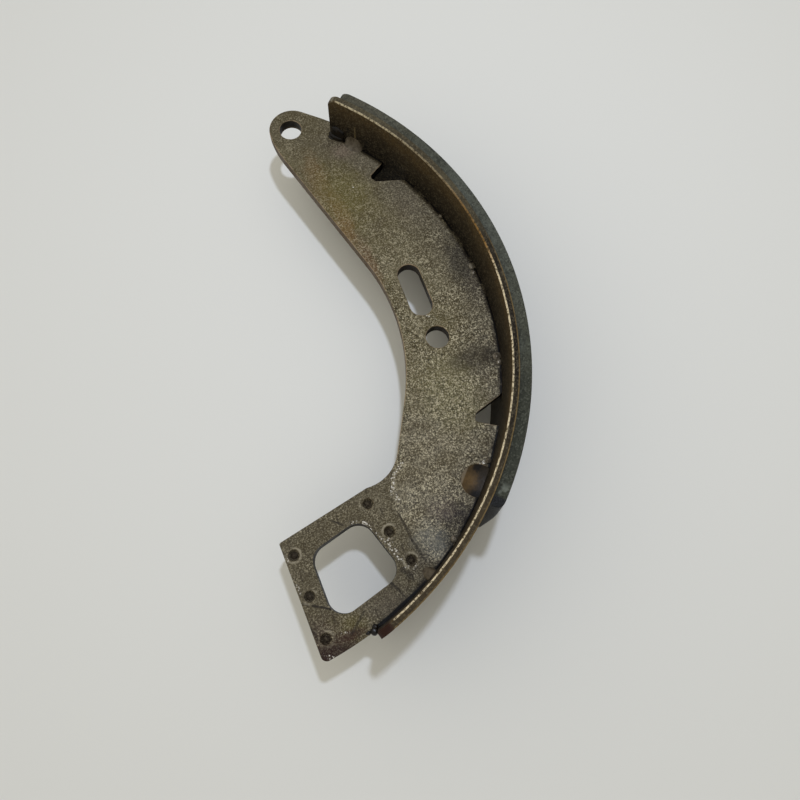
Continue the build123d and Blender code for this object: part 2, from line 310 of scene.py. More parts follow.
dimple_places = [
    # the middle of each
    (0.0447, -0.0720),
    (0.0491, -0.0847),
    (0.0528, -0.0969),
    (0.0137, -0.0806),
    (0.0146, -0.0963),
    (0.0157, -0.1117),
]
web_scratches = [
    # x, y to x, y, width, strength
    (0.0306, -0.0738, 0.0339, -0.0766, 0.00035, 0.7),
    (0.0148, -0.0996, 0.0204, -0.1028, 0.00040, 0.85),
    (0.0117, -0.0977, 0.0132, -0.0987, 0.00040, 0.8),
    (0.0422, -0.0997, 0.0461, -0.1077, 0.00045, 0.6),
    (0.0436, -0.1020, 0.0454, -0.1053, 0.00040, 0.6),
    (0.0545, -0.0791, 0.0557, -0.0904, 0.00045, 0.6),
    (0.0557, -0.0904, 0.0576, -0.0987, 0.00050, 0.6),
    (0.0309, -0.1078, 0.0245, -0.1132, 0.00045, 0.6),
    (0.0489, -0.0992, 0.0511, -0.1026, 0.00110, 0.6),
    (0.0106, -0.1020, 0.0128, -0.1109, 0.00050, 0.5),
]
web_glints = [
    # x, y to x, y, width, strength
    (0.0366, -0.0768, 0.0394, -0.0775, 0.00055, 0.8),
    (0.0410, -0.0784, 0.0422, -0.0790, 0.00060, 0.9),
    (0.0423, -0.0793, 0.0430, -0.0815, 0.00060, 1.0),
    (0.0446, -0.0836, 0.0461, -0.0880, 0.00060, 0.8),
    (0.0477, -0.0867, 0.0483, -0.0884, 0.00080, 0.9),
    (0.0469, -0.0890, 0.0491, -0.0955, 0.00070, 0.8),
    (0.0491, -0.0914, 0.0501, -0.0959, 0.00070, 0.7),
    (0.0491, -0.0955, 0.0505, -0.0985, 0.00100, 0.6),
    (0.0527, -0.1000, 0.0540, -0.0990, 0.00060, 0.8),
    (0.0623, -0.0625, 0.0599, -0.0645, 0.00080, 0.7),
    (0.0591, -0.0646, 0.0569, -0.0674, 0.00085, 0.85),
    (0.0565, -0.0672, 0.0555, -0.0701, 0.00090, 0.95),
    (0.0552, -0.0708, 0.0558, -0.0745, 0.00120, 0.8),
    (0.0099, -0.0779, 0.0105, -0.0819, 0.00110, 0.9),
    (0.0110, -0.0870, 0.0120, -0.0940, 0.00060, 0.4),
    (0.0902, -0.0732, 0.0924, -0.0728, 0.00080, 1.0),
    (0.0128, -0.1165, 0.0156, -0.1179, 0.00080, 0.8),
    (0.0210, -0.1120, 0.0240, -0.1122, 0.00060, 0.5),
    (0.0847, 0.0566, 0.0848, 0.0556, 0.00050, 1.0),
    (0.0918, -0.0085, 0.0935, -0.0100, 0.00060, 0.7),
]


def web_material(name, stained):
    """The skin of web and doubler, with or without the stains, scratches and glints listed above."""
    material, tree, shader, where = new_material(name)
    place = placed(tree, shoe_place, {"Vector": where})
    grains = placed(tree, grain, {"Vector": where, "Grain": 0.00042})
    broad = noise(tree, where, 0.028, 4.0)
    medium = noise(tree, where, 0.005, 4.0)
    mottle = noise(tree, where, 0.0006, 2.0, 0.75)
    fine = noise(tree, where, 0.0011, 3.0, 0.7)
    across = node(tree, "ShaderNodeSeparateXYZ", {"Vector": where}).outputs["Y"]
    lower = ramp(tree, across, -0.030, -0.062)

    upper_film = mixed(tree, ramp(tree, broad, 0.38, 0.62), shade(84, 75, 44), shade(92, 84, 60))
    lower_film = mixed(tree, ramp(tree, broad, 0.38, 0.62), shade(96, 87, 66), shade(102, 95, 80))
    film = mixed(tree, lower, upper_film, lower_film)
    film = mixed(tree, ramp(tree, place["Radius"], 0.098, 0.116, 0.0, 0.7), film, shade(80, 73, 62))
    film = mixed(tree, ramp(tree, medium, 0.4, 0.8, 0.0, 0.7), film, shade(66, 56, 36))

    # the coined pad is smoother, darker and browner
    up = ramp(tree, place["Up"], 0.3, 0.6)
    flat = ramp(tree, place["Up"], 0.9, 0.98)
    pad = times(tree, flat, ramp(tree, place["Height"], pad_top + 0.0002, pad_top + 0.0001))
    film = mixed(tree, times(tree, pad, 0.85), film, shade(71, 63, 45))
    smothering = []
    if stained:
        for x, y, radius, stretch, tint, strength in web_stains:
            mask = stain(tree, where, x, y, radius, stretch)
            film = mixed(tree, times(tree, mask, strength), film, tint)
            if strength > 0.8:
                smothering.append(mask)

    # the grain shows most in the lower half, and least on the pad and under the heavy stains
    contrast = ramp(tree, noise(tree, where, 0.009, 2.0), 0.3, 0.7, 0.55, 1.0)
    if stained:
        contrast = times(tree, contrast, ramp(tree, across, 0.085, -0.045, 0.35, 1.0))
        for mask in smothering:
            contrast = times(tree, contrast, ramp(tree, mask, 0.0, 1.0, 1.0, 0.4))
    contrast = times(tree, contrast, ramp(tree, pad, 0.0, 1.0, 1.0, 0.5))
    colour = mixed(tree, times(tree, grains["Bright"], contrast, 0.45), film, shade(206, 196, 168))
    colour = mixed(tree, times(tree, grains["Dark"], contrast, 0.45), colour, shade(26, 20, 12))
    dark_mottle = times(tree, contrast, ramp(tree, mottle, 0.49, 0.34, 0.0, 0.9))
    colour = mixed(tree, dark_mottle, colour, shade(24, 18, 10))
    pale_mottle = times(tree, contrast, ramp(tree, mottle, 0.51, 0.67, 0.0, 0.88))
    colour = mixed(tree, pale_mottle, colour, shade(198, 188, 160))
    colour = mixed(tree, ramp(tree, fine, 0.45, 0.75, 0.0, 0.3), colour, shade(58, 50, 34))

    rolling = {"Vector": where, "Rotation": (0, 0, math.radians(-20)), "Scale": (1.0, 0.18, 1.0)}
    streaks = node(tree, "ShaderNodeMapping", rolling)
    streak = ramp(tree, noise(tree, streaks.outputs["Vector"], 0.0012, 2.0), 0.56, 0.7)
    colour = mixed(tree, times(tree, pad, streak, 0.6), colour, shade(42, 34, 24))
    if stained:
        for x0, y0, x1, y1, width, strength in web_scratches:
            mask = times(tree, line(tree, where, x0, y0, x1, y1, width), strength)
            colour = mixed(tree, mask, colour, shade(32, 26, 20))
        # each dimple's rim gets a pale painted highlight
        for x, y in dimple_places:
            outside = stain(tree, where, x, y, dimple_rim_radius, (1.0, 1.0), 0.12, 0.25)
            inside = stain(tree, where, x, y, dimple_radius, (1.0, 1.0), 0.08, 0.0)
            dimple_rim_highlight = times(tree, flat, calculate(tree, "SUBTRACT", outside, inside),
                         ramp(tree, medium, 0.42, 0.6))
            colour = mixed(tree, times(tree, dimple_rim_highlight, 0.7), colour, shade(150, 142, 124))
    dimple = times(tree, up, ramp(tree, place["Height"], pad_top - 0.00005, pad_top - 0.0005))
    colour = mixed(tree, times(tree, dimple, 0.85), colour, shade(34, 25, 19))

    # a pale painted highlight on the nub in the middle of each dimple
    nub_highlight = times(tree, up, ramp(tree, place["Height"], pad_top - 0.00012, pad_top - 0.0003),
                ramp(tree, place["Height"], pad_top - 0.0010, pad_top - 0.0007),
                ramp(tree, place["Up"], 0.8, 0.9))
    colour = mixed(tree, times(tree, nub_highlight, 0.75), colour, shade(112, 102, 84))

    # sheared walls are rust-brown, darker still in the cut openings; in the notches they are painted black
    # as shade, and the rolled edge above them gets a pale painted highlight
    side = ramp(tree, calculate(tree, "ABSOLUTE", place["Up"]), 0.5, 0.3)
    colour = mixed(tree, times(tree, side, 0.8), colour, shade(70, 54, 36))
    # painted shade: the walls inside the notches are painted black
    notch_wall_shade = times(tree, side, ramp(tree, place["Radius"], 0.107, 0.110),
                     ramp(tree, place["Angle"], 44.0, 43.0), ramp(tree, place["Angle"], -60.0, -58.0))
    colour = mixed(tree, notch_wall_shade, colour, shade(10, 8, 7))
    for x, y, reach, stretch in cut_openings:
        inside = stain(tree, where, x, y, reach, stretch, 0.02, 0.0)
        colour = mixed(tree, times(tree, side, inside, 0.9), colour, shade(22, 17, 11))
    # a pale painted highlight on the rolled edge along the top of the cut walls
    rolled_edge_highlight = times(tree, up, ramp(tree, place["Up"], 0.95, 0.85), ramp(tree, medium, 0.7, 0.4),
                   ramp(tree, place["Height"], web_top - 0.0005, web_top - 0.0003))
    colour = mixed(tree, times(tree, rolled_edge_highlight, 0.7), colour, shade(150, 130, 104))

    # painted shade lies in the corner along the joint with the rim, and the joint itself is a black line
    along_rim = times(tree, ramp(tree, place["Angle"], 45.0, 44.0),
                      ramp(tree, place["Angle"], -75.5, -74.0), up)
    joint = times(tree, along_rim,
                  ramp(tree, place["Radius"], rim_inner_radius - 0.0026, rim_inner_radius - 0.0005))
    # painted shade in the corner by the rim wall
    corner_shade = times(tree, joint, ramp(tree, medium, 0.3, 0.55))
    colour = mixed(tree, times(tree, corner_shade, 0.85), colour, shade(30, 25, 20))
    widening = ramp(tree, place["Angle"], -62.0, -68.0, 0.0, 0.0006)
    into_joint = calculate(tree, "ADD", place["Radius"], widening)
    gaps = calculate(tree, "ADD", ramp(tree, noise(tree, where, 0.006, 2.0), 0.38, 0.46),
                     calculate(tree, "ADD", ramp(tree, place["Angle"], -60.0, -64.0),
                               ramp(tree, place["Angle"], 30.0, 31.5)))
    crack = times(tree, ramp(tree, into_joint, rim_inner_radius - 0.0009, rim_inner_radius - 0.0005),
                  along_rim, calculate(tree, "MINIMUM", gaps, 1.0))
    colour = mixed(tree, crack, colour, shade(10, 8, 7))

    rough = ramp(tree, medium, 0.3, 0.75, 0.42, 0.62)
    if stained:
        bright = 0.0
        for x0, y0, x1, y1, width, strength in web_glints:
            mask = times(tree, line(tree, where, x0, y0, x1, y1, width * 0.8, 0.8), strength)
            bright = calculate(tree, "MAXIMUM", bright, mask)
        bubbles = node(tree, "ShaderNodeTexVoronoi", {"Vector": where, "Scale": 1250.0}).outputs["Distance"]
        sparkle = times(tree, bright, ramp(tree, bubbles, 0.46, 0.24))
        colour = mixed(tree, sparkle, colour, shade(214, 208, 198))
        rough = calculate(tree, "MULTIPLY_ADD", bright, -0.2, rough)
    shader.inputs["Metallic"].default_value = 0.1
    shader.inputs["Specular IOR Level"].default_value = 0.15
    height = calculate(tree, "MULTIPLY_ADD", medium, 1.5, grains["Height"])
    finish(tree, shader, colour, rough, height, 0.00014, 0.6)
    return material


give(web_material("web_steel", True), "web")


# Doubler: a second plate of 4 mm steel under the square end, cut to the same window.
# The web is spot welded to it at the six dimples. It has the web's skin, without its stains.

give(web_material("doubler_steel", False), "end_doubler")


# Rim: a strip of 2.6 mm steel rolled to the drum's curve and welded round the web.
# It is brown with old oil, darkest down by the web where shade is painted in, and rubbed bright along its
# inner corner, with a painted highlight on it.

wall_runs_and_gap_shade = [
    # angle, from height, to height, width, colour: a metal run down over the weld, and black painted shade
    # in the gaps beside it
    (39.3, 0.0320, 0.0385, 0.0004, shade(88, 76, 54)),
    (41.0, web_top, 0.0350, 0.0011, shade(16, 13, 10)),
    (36.7, web_top, 0.0325, 0.0012, shade(8, 6, 5)),
]


def rim_material():
    """Old brown oil on the rim, with painted shade by height on its walls, by angle on its top edge, and a
    painted highlight along its inner corner.
    """
    material, tree, shader, where = new_material("rim_steel")
    place = placed(tree, shoe_place, {"Vector": where})
    grains = placed(tree, grain, {"Vector": where, "Grain": 0.0005})
    broad = noise(tree, where, 0.02, 3.0)
    medium = noise(tree, where, 0.004, 4.0)

    # painted shade: the wall darkens down towards the web, over its dark oil
    above_web = calculate(tree, "SUBTRACT", place["Height"], web_top)
    drift = calculate(tree, "MULTIPLY_ADD", calculate(tree, "SUBTRACT", broad, 0.5), 0.012, above_web)
    wall = mixed(tree, ramp(tree, drift, 0.002, 0.012), shade(20, 16, 11), shade(42, 34, 22))
    wall = mixed(tree, ramp(tree, drift, 0.011, 0.021), wall, shade(70, 56, 34))
    soot = stain(tree, where, 0.0870, 0.0826, 0.0060, (1.0, 1.0), 0.6, 0.5, web_top + 0.002)
    wall = mixed(tree, times(tree, soot, 0.85), wall, shade(12, 10, 8))
    # the black runs are painted shade in the gaps beside the weld
    for turn, low, high, width, tint in wall_runs_and_gap_shade:
        x = rim_inner_radius * math.cos(math.radians(turn))
        y = rim_inner_radius * math.sin(math.radians(turn))
        links = {"Vector": where, "From": (x, y, low), "To": (x, y, high), "Width": width}
        run = placed(tree, stroke, links)["Mask"]
        wall = mixed(tree, times(tree, run, 0.85), wall, tint)

    # the top edge is palest at the upper end and blackest in the middle
    edge_face = mixed(tree, ramp(tree, place["Angle"], 12.0, -2.0), shade(76, 70, 54), shade(24, 19, 11))
    edge_face = mixed(tree, ramp(tree, place["Angle"], -30.0, -50.0), edge_face, shade(62, 52, 36))
    edge_face = mixed(tree, ramp(tree, broad, 0.4, 0.65, 0.0, 0.6), edge_face, shade(56, 49, 35))
    gilt = times(tree, ramp(tree, place["Radius"], rim_outer_radius - 0.0006, rim_outer_radius - 0.0002),
                 ramp(tree, place["Angle"], 6.0, -4.0))
    edge_face = mixed(tree, times(tree, gilt, 0.6), edge_face, shade(128, 106, 66))
    flat = ramp(tree, place["Up"], 0.8, 0.95)
    colour = mixed(tree, flat, wall, edge_face)

    worn_tip = times(tree, ramp(tree, place["Angle"], 43.9, 44.6),
                     ramp(tree, place["Height"], 0.0468, 0.0478))
    colour = mixed(tree, times(tree, worn_tip, 0.7), colour, shade(136, 132, 116))
    colour = mixed(tree, ramp(tree, medium, 0.45, 0.8, 0.0, 0.5), colour, shade(40, 34, 26))
    colour = mixed(tree, times(tree, grains["Bright"], 0.22), colour, shade(130, 120, 98))
    colour = mixed(tree, times(tree, grains["Dark"], 0.4), colour, shade(24, 20, 15))

    end = times(tree, ramp(tree, place["Angle"], -71.0, -71.8), ramp(tree, place["Height"], 0.036, 0.042))
    colour = mixed(tree, times(tree, end, 0.85), colour, shade(38, 16, 12))

    # bare metal shows along the inner corner, in broken lengths, with a painted highlight on it
    below_top = calculate(tree, "SUBTRACT", rim_width, place["Height"])
    outward = calculate(tree, "SUBTRACT", place["Radius"], rim_inner_radius)
    from_corner = calculate(tree, "ADD", below_top, outward)
    strip = ramp(tree, from_corner, 0.00066, 0.00034)
    broken = ramp(tree, noise(tree, where, 0.0009, 3.0, 0.7), 0.36, 0.56)
    upper_shine = ramp(tree, place["Angle"], 36.0, 22.0, 0.8, 0.35)
    lower_shine = ramp(tree, place["Angle"], 3.0, -5.0, 0.0, 0.65)
    stops = ramp(tree, place["Angle"], -70.9, -70.4)
    edge = times(tree, strip, broken, calculate(tree, "ADD", upper_shine, lower_shine), stops)
    warm = ramp(tree, place["Angle"], 20.0, 6.0)
    cold = ramp(tree, place["Angle"], 2.0, -5.0)
    shine_colour = mixed(tree, warm, shade(206, 192, 160), shade(190, 140, 70))
    shine_colour = mixed(tree, cold, shine_colour, shade(224, 208, 176))
    colour = mixed(tree, edge, colour, shine_colour)
    rough = ramp(tree, edge, 0.0, 1.0, 0.6, 0.3)
    shader.inputs["Metallic"].default_value = 0.1
    shader.inputs["Specular IOR Level"].default_value = 0.1
    height = calculate(tree, "MULTIPLY_ADD", medium, 1.5, grains["Height"])
    finish(tree, shader, colour, rough, height, 0.0001, 0.45)
    return material


give(rim_material(), "rim")


# Lining: a moulded block of resin-bonded friction compound, glued to the rim and ground to the drum.
# It is dull grey-green with fine grit, scored round its rubbing face, and at its lower end glossy with oil
# and painted black as shade.

lining_top = 0.04675
lining_bottom = 0.00175
lining_radius = 0.127
upper_end = 43.35
lower_end = -47.9
worn_above = 0.038
slope_above = 0.030
slope_from = -44.0
end_slope = 0.8


def lining_outline(angle, height):
    """How far out the lining reaches there: both ends are worn round, the lower one most at its top."""
    from_upper = (upper_end - angle) * math.radians(1.0) * lining_radius
    from_lower = (angle - lower_end) * math.radians(1.0) * lining_radius
    worn = min(max((height - worn_above) / (lining_top - worn_above), 0.0), 1.0)
    roundings = [
        # distance from the end, and the length and depth of its rounding
        (from_upper, 0.0028, 0.0016),
        (from_lower, 0.0010 + 0.0032 * worn, 0.0008 + 0.0020 * worn),
    ]
    lost = 0.0
    for gap, run, depth in roundings:
        share = min(max(1.0 - gap / run, 0.0), 1.0)
        lost = max(lost, depth * (1.0 - math.sqrt(1.0 - share * share)))
    return lining_radius - lost


def lining_mesh(name):
    """A closed arc of block, with narrow rounded edges and an outer wall that follows the worn ends."""
    ease = 0.00025
    shoulder = 0.1246
    long_from = 41.0
    long_run = 86.6
    steps = 90
    end_steps = [0.0, 0.05, 0.12, 0.22, 0.35, 0.5, 0.7, 0.95, 1.25, 1.6, 2.0]
    angles = [upper_end - step for step in end_steps]
    angles += [long_from - i * long_run / steps for i in range(steps + 1)]
    angles += [lower_end + step for step in reversed(end_steps)]
    levels = [lining_bottom + ease, 0.010, 0.020, slope_above, worn_above, 0.040, 0.042, 0.044, 0.0455]
    levels.append(lining_top - ease)
    last = len(levels)
    block = bmesh.new()
    rows = []
    for angle in angles:
        top_reach = lining_outline(angle, lining_top)
        low_reach = lining_outline(angle, lining_bottom)
        dimple_rim_highlight = [(rim_outer_radius, height) for height in [lining_bottom, *levels, lining_top]]
        dimple_rim_highlight += [(shoulder, lining_top), (top_reach - ease, lining_top)]
        dimple_rim_highlight += [(lining_outline(angle, height), height) for height in reversed(levels)]
        dimple_rim_highlight += [(low_reach - ease, lining_bottom)]
        near_end = max((slope_from - angle) / (slope_from - lower_end), 0.0)
        row = []
        for reach, height in dimple_rim_highlight:
            slope = max((height - slope_above) / (lining_top - slope_above), 0.0)
            turn = math.radians(angle + near_end * end_slope * slope)
            row.append(block.verts.new((reach * math.cos(turn), reach * math.sin(turn), height)))
        rows.append(row)
    for first, second in zip(rows, rows[1:]):
        for j in range(len(first)):
            k = (j + 1) % len(first)
            block.faces.new((first[j], first[k], second[k], second[j]))
    for row in (rows[0], rows[-1]):
        inner = row[:last + 2]
        outer = row[:last + 3:-1]
        block.faces.new((inner[0], inner[1], outer[1], outer[0]))
        for j in range(1, last):
            block.faces.new((inner[j], inner[j + 1], outer[j + 1], outer[j]))
        block.faces.new((inner[last], inner[last + 1], row[last + 2], row[last + 3], outer[last]))
    bmesh.ops.recalc_face_normals(block, faces=block.faces)
    mesh = bpy.data.meshes.new(name)
    block.to_mesh(mesh)
    block.free()
    mesh.shade_smooth()
    mesh.set_sharp_from_angle(angle=math.radians(35.0))
    return mesh


def lining_material():
    """Friction compound by angle round the shoe, with its scored face, its glue line, and its end glossy
    with oil and painted black as shade.
    """
    material, tree, shader, where = new_material("friction_lining")
    place = placed(tree, shoe_place, {"Vector": where})
    grains = placed(tree, grain, {"Vector": where, "Grain": 0.00055})
    medium = noise(tree, where, 0.004, 4.0)
    broad = noise(tree, where, 0.018, 3.0)
    mottle = noise(tree, where, 0.0012, 3.0, 0.65)

    colour = mixed(tree, ramp(tree, broad, 0.35, 0.65), shade(70, 71, 61), shade(78, 81, 74))
    colour = mixed(tree, ramp(tree, place["Angle"], 24.0, 38.0, 0.0, 0.6), colour, shade(80, 75, 62))
    colour = mixed(tree, ramp(tree, place["Angle"], -12.0, -34.0, 0.0, 0.8), colour, shade(48, 50, 42))
    colour = mixed(tree, ramp(tree, medium, 0.45, 0.8, 0.0, 0.7), colour, shade(44, 46, 40))
    colour = mixed(tree, times(tree, grains["Bright"], 0.22), colour, shade(122, 124, 112))
    colour = mixed(tree, times(tree, grains["Dark"], 0.45), colour, shade(28, 28, 25))
    colour = mixed(tree, ramp(tree, mottle, 0.52, 0.7, 0.0, 0.5), colour, shade(36, 37, 32))

    # scoring round the rubbing face, which has touched the drum
    rubbing = ramp(tree, place["Radius"], 0.1266, 0.12685)
    drawn_out = times(tree, place["Angle"], 0.0004)
    round_shoe = node(tree, "ShaderNodeCombineXYZ", {"X": drawn_out, "Z": place["Height"]})
    scores = noise(tree, round_shoe.outputs["Vector"], 0.0013, 4.0, 0.6)
    scored = times(tree, rubbing, ramp(tree, scores, 0.4, 0.7))
    colour = mixed(tree, times(tree, scored, 0.6), colour, shade(112, 108, 98))

    bonded = ramp(tree, place["Radius"], rim_outer_radius + 0.0006, rim_outer_radius + 0.0002)
    colour = mixed(tree, times(tree, bonded, 0.6), colour, shade(42, 38, 30))

    # pale scuffs on the top edge near the lower end, and over the end itself black painted shade, glossy
    # with oil
    scuffed = times(tree, ramp(tree, place["Angle"], -42.5, -44.0),
                    ramp(tree, place["Height"], 0.0462, 0.0466), ramp(tree, medium, 0.42, 0.55))
    colour = mixed(tree, times(tree, scuffed, 0.7), colour, shade(112, 116, 108))
    oil_and_shade = times(tree, ramp(tree, place["Angle"], -45.0, -45.6), ramp(tree, medium, 0.15, 0.3))
    colour = mixed(tree, oil_and_shade, colour, shade(11, 11, 9))
    shader.inputs["Specular IOR Level"].default_value = 0.15
    rough = ramp(tree, oil_and_shade, 0.0, 1.0, 0.8, 0.45)
    height = calculate(tree, "MULTIPLY_ADD", times(tree, rubbing, scores), -3.0, grains["Height"])
    finish(tree, shader, colour, rough, height, 0.00014, 0.6)
    return material


def set_piece(name, mesh, material, slot, *nodes):
    """Stand a mesh in the scene as a piece of the shoe, in place of the CAD nodes named."""
    piece = bpy.data.objects.new(name, mesh)
    bpy.context.scene.collection.objects.link(piece)
    mesh.materials.clear()
    mesh.materials.append(material)
    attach(piece, "root")
    if nodes:
        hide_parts(*nodes)
    return piece


set_piece("lining_block", lining_mesh("lining_block"), lining_material(), "friction_lining", "lining")


# Scallop weld: a plug of weld metal that fills the half-round scallop in the web's edge.
# It set level and smooth; it is painted from brown to black towards the rim as shade, with a pale painted
# highlight on its lip and two pits painted black as shade.

def weld_material(name, warm, dark, metallic, gloss):
    """Cooled weld metal, mottled between two colours."""
    material, tree, shader, where = new_material(name)
    medium = noise(tree, where, 0.0022, 4.0)
    fine = noise(tree, where, 0.0007, 3.0)
    colour = mixed(tree, ramp(tree, medium, 0.35, 0.65), warm, dark)
    colour = mixed(tree, ramp(tree, fine, 0.55, 0.75, 0.0, 0.4), colour, shade(26, 21, 16))
    shader.inputs["Metallic"].default_value = metallic
    shader.inputs["Specular IOR Level"].default_value = 0.25
    rough = ramp(tree, fine, 0.3, 0.7, gloss, gloss + 0.2)
    finish(tree, shader, colour, rough, calculate(tree, "ADD", medium, fine), 0.0002, 0.5)
    return material


scallop_pits = [
    # x, y, radius
    (0.0842, -0.0838, 0.0024),
    (0.0884, -0.0737, 0.0019),
]


def scallop_material():
    """The plug's metal, with painted shade darkening it towards the rim, a painted highlight on its lip, its
    pits painted black as shade, and an amber patch.
    """
    material, tree, shader, where = new_material("scallop_weld_metal")
    place = placed(tree, shoe_place, {"Vector": where})
    medium = noise(tree, where, 0.003, 4.0)
    fine = noise(tree, where, 0.0007, 3.0)
    # painted shade: the plug goes from brown to black towards the rim
    colour = mixed(tree, ramp(tree, place["Radius"], 0.1130, 0.1175), shade(84, 66, 40), shade(38, 30, 18))
    colour = mixed(tree, ramp(tree, medium, 0.4, 0.7, 0.0, 0.6), colour, shade(44, 34, 21))
    # a pale painted highlight on the plug's lip
    lip_highlight = ramp(tree, place["Radius"], 0.1122, 0.1116)
    colour = mixed(tree, times(tree, lip_highlight, 0.5), colour, shade(150, 138, 118))
    # the pits are painted black as shade
    for x, y, radius in scallop_pits:
        pit_shade = stain(tree, where, x, y, radius, (1.0, 1.0), 0.5, 0.5)
        colour = mixed(tree, times(tree, pit_shade, 0.9), colour, shade(12, 9, 6))
    amber = stain(tree, where, 0.0845, -0.0775, 0.0026, (1.0, 1.0), 0.8, 0.8)
    colour = mixed(tree, times(tree, amber, 0.6), colour, shade(106, 82, 48))
    shader.inputs["Specular IOR Level"].default_value = 0.15
    rough = ramp(tree, fine, 0.3, 0.7, 0.42, 0.55)
    finish(tree, shader, colour, rough, calculate(tree, "ADD", medium, fine), 0.0002, 0.4)
    return material


give(scallop_material(), "scallop_weld")


# Fillet welds: beads run by hand into the corner between web and rim, above and below the web.
# Each is highest at its middle, runs out to nothing at its ends, and is lumpy where it cooled.

def bead_mesh(name, angle, length, reach, climb, level, side, hollow, lumps):
    """A closed bead in the corner: reach is its width on the web and climb its height on the rim."""
    steps_along = 40
    steps_across = 14
    sink = 0.00012
    lump_frequency = 700.0
    grit_frequency = 1900.0
    bead = bmesh.new()
    rows = []
    for i in range(steps_along + 1):
        u = 2.0 * i / steps_along - 1.0
        swell = max(1.0 - u * u, 0.0) ** 0.4
        turn = math.radians(angle) + u * length / 2 / rim_inner_radius
        out = Vector((math.cos(turn), math.sin(turn), 0.0))
        row = []
        for j in range(steps_across + 1):
            lean = math.pi / 2 * j / steps_across
            concave = (1.0 - math.sin(lean), 1.0 - math.cos(lean))
            convex = (math.cos(lean), math.sin(lean))
            across = (hollow * concave[0] + (1.0 - hollow) * convex[0]) * reach * swell
            up = (hollow * concave[1] + (1.0 - hollow) * convex[1]) * climb * swell
            point = out * (rim_inner_radius + sink - across) + Vector((0, 0, level + side * (up - sink)))
            bump = solid_noise.noise(point * lump_frequency)
            bump += 0.5 * solid_noise.noise(point * grit_frequency)
            face_out = (-out * math.cos(lean) + Vector((0, 0, side)) * math.sin(lean)).normalized()
            if 0 < j < steps_across:
                point += face_out * bump * lumps * swell
            row.append(bead.verts.new(point))
        row.append(bead.verts.new(out * (rim_inner_radius + sink) + Vector((0, 0, level - side * sink))))
        rows.append(row)
    for first, second in zip(rows, rows[1:]):
        count = len(first)
        for j in range(count):
            bead.faces.new((first[j], first[(j + 1) % count], second[(j + 1) % count], second[j]))
    bead.faces.new(rows[0])
    bead.faces.new(rows[-1])
    bmesh.ops.remove_doubles(bead, verts=bead.verts, dist=1e-6)
    bmesh.ops.recalc_face_normals(bead, faces=bead.faces)
    mesh = bpy.data.meshes.new(name)
    bead.to_mesh(mesh)
    bead.free()
    mesh.shade_smooth()
    return mesh


patch_weld = weld_material("patch_weld_metal", shade(96, 88, 76), shade(70, 62, 50), 0.3, 0.4)
brown_weld = weld_material("brown_weld_metal", shade(84, 74, 58), shade(58, 49, 37), 0.3, 0.35)
doubler_bottom = 0.01785
web_bottom = 0.02185
upper_bead = bead_mesh("upper_fillet_weld", 39.6, 0.0088, 0.0038, 0.0060, web_top, 1, 0.9, 0.0003)
upper_back = bead_mesh("upper_back_weld", 41.2, 0.0100, 0.0044, 0.0050, web_bottom, -1, 0.6, 0.0002)
lower_bead = bead_mesh("lower_fillet_weld", -61.0, 0.0050, 0.0038, 0.0019, pad_top, 1, 0.4, 0.00015)
lower_back = bead_mesh("lower_back_weld", -61.0, 0.0050, 0.0038, 0.0019, doubler_bottom, -1, 0.4, 0.00015)
set_piece("upper_fillet_weld", upper_bead, patch_weld, "weld_metal", "fillet_welds")
set_piece("upper_back_weld", upper_back, brown_weld, "weld_metal", "fillet_welds")
set_piece("lower_fillet_weld", lower_bead, brown_weld, "weld_metal", "fillet_welds")
set_piece("lower_back_weld", lower_back, brown_weld, "weld_metal", "fillet_welds")


# End tacks: a blob of weld at each end of the rim, in the corner where it meets the web.
# Each is a few drops run together, burnt nearly black and shiny with oil.

def blob_mesh(name, balls, seed):
    """A lump of run-together balls, each with its angle, inset, height, and half sizes round, out and up."""
    lump = bmesh.new()
    for angle, inset, level, around, deep, tall in balls:
        turn = math.radians(angle)
        out = Vector((math.cos(turn), math.sin(turn), 0.0))
        along = Vector((-math.sin(turn), math.cos(turn), 0.0))
        ball = bmesh.ops.create_icosphere(lump, subdivisions=4, radius=1.0)["verts"]
        for vertex in ball:
            rough = solid_noise.noise(vertex.co * 1.7 + Vector((seed, angle, 0.0)))
            spot = vertex.co * (1.0 + 0.10 * rough)
            middle = out * (rim_inner_radius - inset) + Vector((0, 0, level))
            vertex.co = middle + along * spot.x * around + out * spot.y * deep
            vertex.co.z += spot.z * tall
    mesh = bpy.data.meshes.new(name)
    lump.to_mesh(mesh)
    lump.free()
    mesh.shade_smooth()
    return mesh


black_weld = weld_material("black_weld_metal", shade(24, 18, 12), shade(11, 9, 7), 0.0, 0.22)
upper_tack_balls = [
    # angle, inset, height, half size round, half size out, half size up
    (43.5, 0.0000, web_top + 0.0030, 0.0036, 0.0012, 0.0038),
    (43.8, 0.0002, web_top + 0.0006, 0.0036, 0.0017, 0.0019),
    (44.7, 0.0010, web_top + 0.0001, 0.0016, 0.0012, 0.0008),
]
lower_tack_balls = [
    (-74.4, 0.0000, pad_top + 0.0001, 0.0014, 0.0015, 0.0013),
    (-73.9, 0.0010, pad_top - 0.0001, 0.0012, 0.0011, 0.0010),
    (-75.4, 0.0008, pad_top - 0.0007, 0.0014, 0.0009, 0.0010),
]
upper_tack = blob_mesh("upper_end_tack", upper_tack_balls, 1.0)
lower_tack = blob_mesh("lower_end_tack", lower_tack_balls, 2.0)
set_piece("upper_end_tack", upper_tack, black_weld, "weld_metal", "end_tacks")
set_piece("lower_end_tack", lower_tack, black_weld, "weld_metal", "end_tacks")


# Weld drops: balls and splashes of metal that the welding threw along the joint.
# Each stuck where it landed, some as round balls and some as flat splashes.

